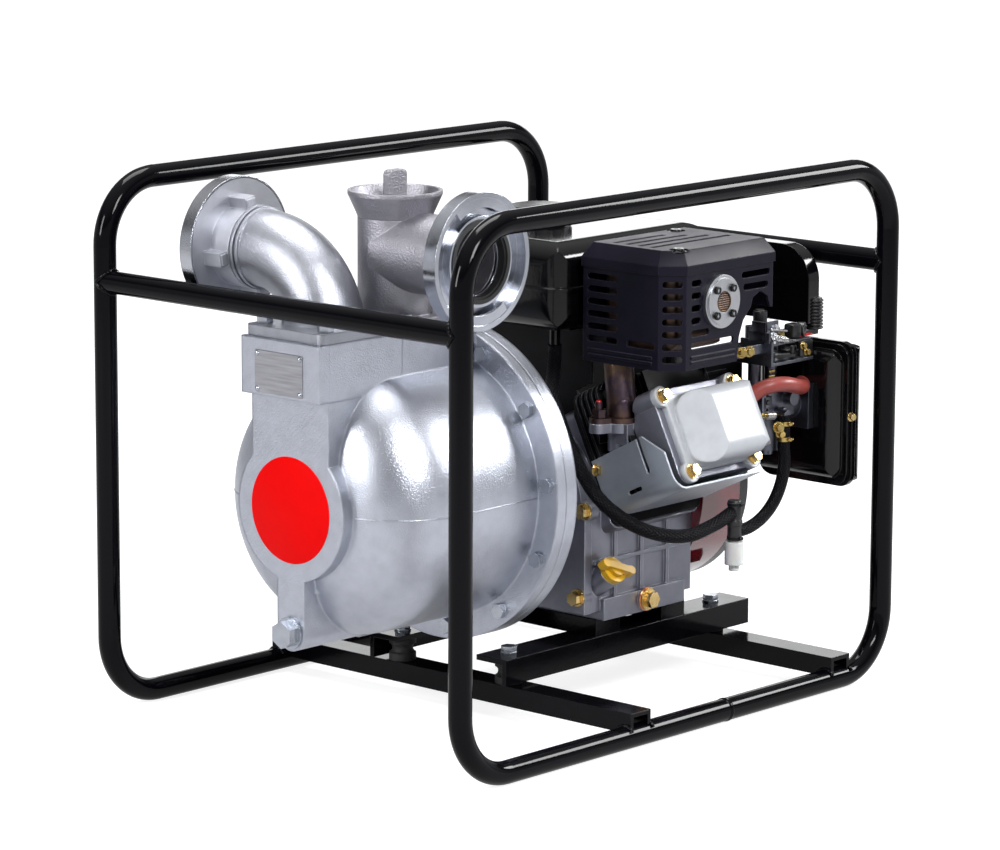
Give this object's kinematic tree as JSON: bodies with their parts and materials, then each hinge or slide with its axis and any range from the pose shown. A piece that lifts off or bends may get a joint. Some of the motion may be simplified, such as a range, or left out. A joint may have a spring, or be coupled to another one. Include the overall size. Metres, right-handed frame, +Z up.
{
  "type": "portable fire pump",
  "caption": "Portable fire pump: engine driven self priming pump with claw couplings, priming funnel and tubular carrying frame.",
  "frame": {"origin": "ground point under the middle of the tube frame", "axes": "+X from the pump to the engine along the shaft, +Y to the suction side, +Z up"},
  "size_m": [0.6216, 0.467, 0.517],
  "materials": {
    "frame_paint": "gloss black stoved paint",
    "rail_paint": "gloss black paint",
    "mount_rubber": "matt black rubber",
    "zinc_bolt": "bright zinc plate",
    "gold_bolt": "yellow zinc plate",
    "cast_alu": "blasted casting",
    "machined_alu": "turned bright",
    "pump_inner": "as cast",
    "impeller_bronze": "cast bronze",
    "engine_grey": "satin grey engine paint",
    "cover_silver": "silver paint",
    "shroud_grey": "satin grey paint",
    "fin_black": "satin black heat paint",
    "hot_steel": "heat tinted steel",
    "guard_black": "satin black",
    "gloss_black": "gloss black",
    "cover_black": "satin black",
    "dip_yellow": "satin yellow",
    "red_rubber": "red rubber",
    "drum_red": "gloss red paint",
    "red_plastic": "gloss red",
    "filter_white": "translucent white",
    "hose_black": "braided black rubber",
    "steel": "turned steel",
    "plate_steel": "bright plate",
    "carb_alloy": "die cast"
  },
  "bodies": {
    "pump_set": {"side_loop_near": "frame_paint", "side_loop_far": "frame_paint", "cross_tube_front": "frame_paint", "cross_tube_rear": "frame_paint", "base_rail_front": "rail_paint", "base_rail_rear": "rail_paint", "bed_rail_near": "rail_paint", "bed_rail_far": "rail_paint", "rubber_mounts": "mount_rubber", "engine_straps": "rail_paint", "frame_bolts": "zinc_bolt", "pump_casing": "cast_alu", "pump_backplate": "cast_alu", "volute": "pump_inner", "shaft_seal": "mount_rubber", "suction_elbow": "cast_alu", "suction_coupling": "machined_alu", "suction_seal": "mount_rubber", "discharge_tee": "cast_alu", "priming_funnel": "cast_alu", "discharge_coupling": "machined_alu", "discharge_seal": "mount_rubber", "pump_bolts": "zinc_bolt", "crankcase": "engine_grey", "crankcase_cover": "engine_grey", "cylinder": "fin_black", "cylinder_head": "engine_grey", "valve_cover": "cover_silver", "cylinder_shroud": "shroud_grey", "muffler": "hot_steel", "muffler_guard": "guard_black", "outlet_plate": "plate_steel", "exhaust_pipe": "hot_steel", "carburettor": "carb_alloy", "control_bracket": "carb_alloy", "air_cleaner_case": "gloss_black", "air_cleaner_cover": "cover_black", "breather_tube": "red_rubber", "fuel_tank": "gloss_black", "tank_stay": "fin_black", "fuel_hose": "hose_black", "carb_hose": "hose_black", "fuel_filter": "filter_white", "oil_drain_bolt": "gold_bolt", "blower_housing": "drum_red", "upper_shroud": "gloss_black", "recoil_cover": "cover_black", "engine_bolts": "gold_bolt"},
    "rotor": {"crankshaft": "steel", "impeller": "impeller_bronze", "impeller_nut": "zinc_bolt", "flywheel": "steel"},
    "check_flap": {"check_flap": "mount_rubber"},
    "priming_plug": {"priming_plug": "cast_alu"},
    "drain_plug": {"drain_plug": "zinc_bolt"},
    "throttle_lever": {"throttle_lever": "steel"},
    "choke_lever": {"choke_lever": "red_plastic"},
    "dipstick": {"dipstick": "dip_yellow"},
    "fuel_cap": {"fuel_cap": "cover_black"},
    "recoil_grip": {"recoil_grip": "cover_black"}
  },
  "joints": [
    {"name": "rotor_spin", "type": "hinge", "parent": "pump_set", "child": "rotor", "pos_m": [0, 0, 0.184], "axis": [1, 0, 0], "continuous": true},
    {"name": "flap_swing", "type": "hinge", "parent": "pump_set", "child": "check_flap", "pos_m": [-0.235, 0.0807, 0.471], "axis": [-1, 0, 0], "range_deg": [0, 38]},
    {"name": "plug_lift", "type": "slide", "parent": "pump_set", "child": "priming_plug", "axis": [0, 0, 1], "range_m": [0, 0.05]},
    {"name": "drain_turn", "type": "hinge", "parent": "pump_set", "child": "drain_plug", "pos_m": [-0.284, 0, 0.108], "axis": [-1, 0, 0], "range_deg": [0, 360]},
    {"name": "throttle_swing", "type": "hinge", "parent": "pump_set", "child": "throttle_lever", "pos_m": [0.196, -0.162, 0.32], "axis": [0, 0, 1], "range_deg": [-10, 30]},
    {"name": "choke_swing", "type": "hinge", "parent": "pump_set", "child": "choke_lever", "pos_m": [0.236, -0.162, 0.32], "axis": [0, 0, 1], "range_deg": [0, 40]},
    {"name": "dipstick_turn", "type": "hinge", "parent": "pump_set", "child": "dipstick", "pos_m": [0.038, -0.1036, 0.1275], "axis": [0, -0.8192, 0.5736], "range_deg": [0, 180]},
    {"name": "cap_turn", "type": "hinge", "parent": "pump_set", "child": "fuel_cap", "pos_m": [0.12, 0.06, 0.44], "axis": [0, 0, 1], "range_deg": [0, 120]},
    {"name": "recoil_pull", "type": "slide", "parent": "pump_set", "child": "recoil_grip", "axis": [0, 1, 0], "range_m": [0, 0.08]}
  ]
}
